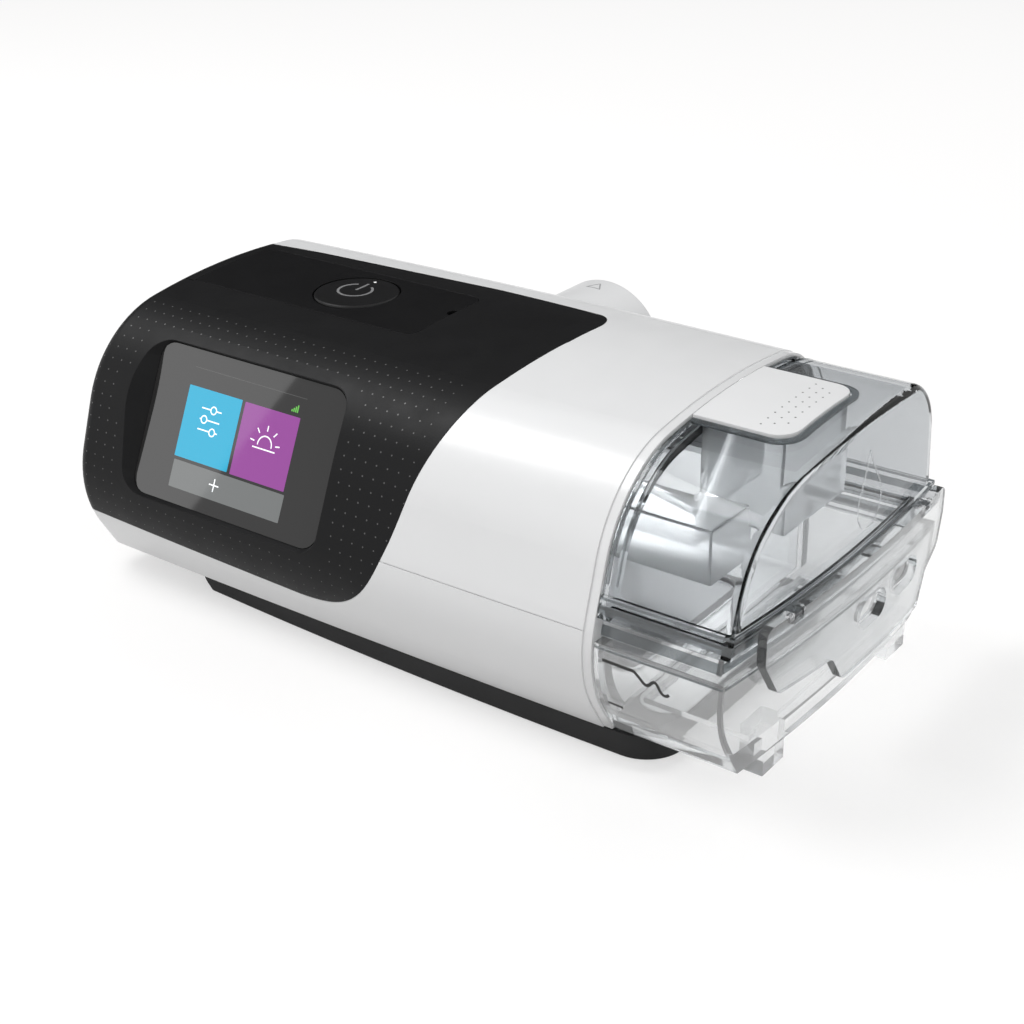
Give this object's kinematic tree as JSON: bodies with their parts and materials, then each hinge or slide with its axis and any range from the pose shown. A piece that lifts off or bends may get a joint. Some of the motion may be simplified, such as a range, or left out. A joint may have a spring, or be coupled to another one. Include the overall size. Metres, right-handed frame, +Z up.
{
  "type": "cpap machine",
  "caption": "Low wide bedside breathing machine with tilted screen, round start button, rear hose outlet and a clear water tub that slides out of its end.",
  "frame": {"origin": "on the surface that the machine stands on, under the centre of its overall box", "axes": "+X towards the end with the clear water tub, +Y towards the rear with the air outlet, +Z up"},
  "size_m": [0.2594, 0.1385, 0.0945],
  "materials": {
    "black_shell": "fine satin grain",
    "black_panel": "satin",
    "button_black": "satin",
    "black_base": "matte",
    "white_shell": "soft gloss",
    "white_trim": "soft gloss",
    "white_cover": "satin",
    "pad_white": "satin with fine dots",
    "outlet_white": "satin",
    "clear_tub": "polished clear",
    "clear_lid": "polished clear",
    "clear_duct": "polished clear",
    "clear_latch": "polished clear",
    "screen_glass": "polished",
    "display_dark": "lit panel",
    "liner_grey": "satin",
    "seal_clear": "soft translucent",
    "seal_grey": "soft",
    "rubber_dark": "matte",
    "heat_steel": "brushed",
    "heat_alloy": "satin",
    "element_foil": "etched foil",
    "insulator": "felted",
    "inner_plastic": "matte",
    "inner_white": "matte",
    "board_green": "lacquered",
    "chip_black": "moulded",
    "flex_amber": "smooth film",
    "filter_white": "fibrous",
    "foam_dark": "open cell foam",
    "card_blue": "matte",
    "steel": "ground",
    "magnet": "plated",
    "copper_core": "stacked sheets with windings",
    "wheel_plastic": "satin"
  },
  "bodies": {
    "machine": {"front_fascia": "black_shell", "upper_housing": "white_shell", "lower_housing": "white_shell", "base_plinth": "black_base", "rubber_feet": "rubber_dark", "housing_screws": "steel", "tub_rim": "white_trim", "top_panel": "black_panel", "screen_glass": "screen_glass", "screen_gasket": "rubber_dark", "display_panel": "display_dark", "display_bracket": "inner_plastic", "display_ribbon": "flex_amber", "button_guide": "inner_plastic", "button_board": "board_green", "button_switch": "chip_black", "button_spring": "steel", "dock_liner": "liner_grey", "dock_heater_plate": "heat_alloy", "heater_element": "element_foil", "heater_insulator": "insulator", "dock_inlet_seal": "seal_grey", "dock_outlet_seal": "seal_grey", "outlet_elbow": "inner_white", "air_filter": "filter_white", "filter_chamber": "inner_white", "muffler_foam": "foam_dark", "inlet_duct": "inner_white", "card_socket": "inner_plastic", "memory_card": "card_blue", "blower_lower": "inner_white", "blower_upper": "inner_white", "blower_mounts": "rubber_dark", "blower_duct": "rubber_dark", "motor_stator": "copper_core", "motor_bearings": "steel", "main_board": "board_green", "board_components": "chip_black", "sensor_board": "board_green", "power_inlet": "chip_black"},
    "button": {"start_button": "button_black"},
    "fan": {"impeller": "wheel_plastic", "impeller_shaft": "steel", "motor_rotor": "magnet"},
    "tub": {"tub_base": "clear_tub", "tub_lid": "clear_lid", "lid_seal": "seal_clear", "tub_heat_plate": "heat_steel", "tub_seal": "seal_grey", "thumb_pad": "pad_white", "lid_duct": "clear_duct", "latch_pins": "steel"},
    "latch": {"tub_latch": "clear_latch"},
    "filter_door": {"filter_cover": "white_cover"},
    "card_door": {"card_cover": "black_shell"},
    "outlet": {"outlet_connector": "outlet_white", "outlet_o_ring": "rubber_dark"}
  },
  "joints": [
    {"name": "start_button_press", "type": "slide", "parent": "machine", "child": "button", "axis": [0, 0, -1], "range_m": [0, 0.0012], "stiffness_N_per_m": 1500, "deforming": ["button_spring"]},
    {"name": "tub_slide", "type": "slide", "parent": "machine", "child": "tub", "axis": [1, 0, 0], "range_m": [0, 0.075]},
    {"name": "tub_latch_swing", "type": "hinge", "parent": "tub", "child": "latch", "pos_m": [0.12687, 0, 0.0535], "axis": [0, -1, 0], "range_deg": [0, 20]},
    {"name": "filter_cover_swing", "type": "hinge", "parent": "machine", "child": "filter_door", "pos_m": [-0.1172, 0.05197, 0.043], "axis": [0, 0, 1], "range_deg": [0, 90]},
    {"name": "card_cover_swing", "type": "hinge", "parent": "machine", "child": "card_door", "pos_m": [-0.12662, -0.01215, 0.05591], "axis": [0.0393, 0, 0.9992], "range_deg": [0, 90]},
    {"name": "outlet_pull", "type": "slide", "parent": "machine", "child": "outlet", "axis": [0, 1, 0], "range_m": [0, 0.022]},
    {"name": "impeller_spin", "type": "hinge", "parent": "machine", "child": "fan", "pos_m": [-0.04, -0.004, 0.05], "axis": [0, 0, 1], "continuous": true}
  ]
}
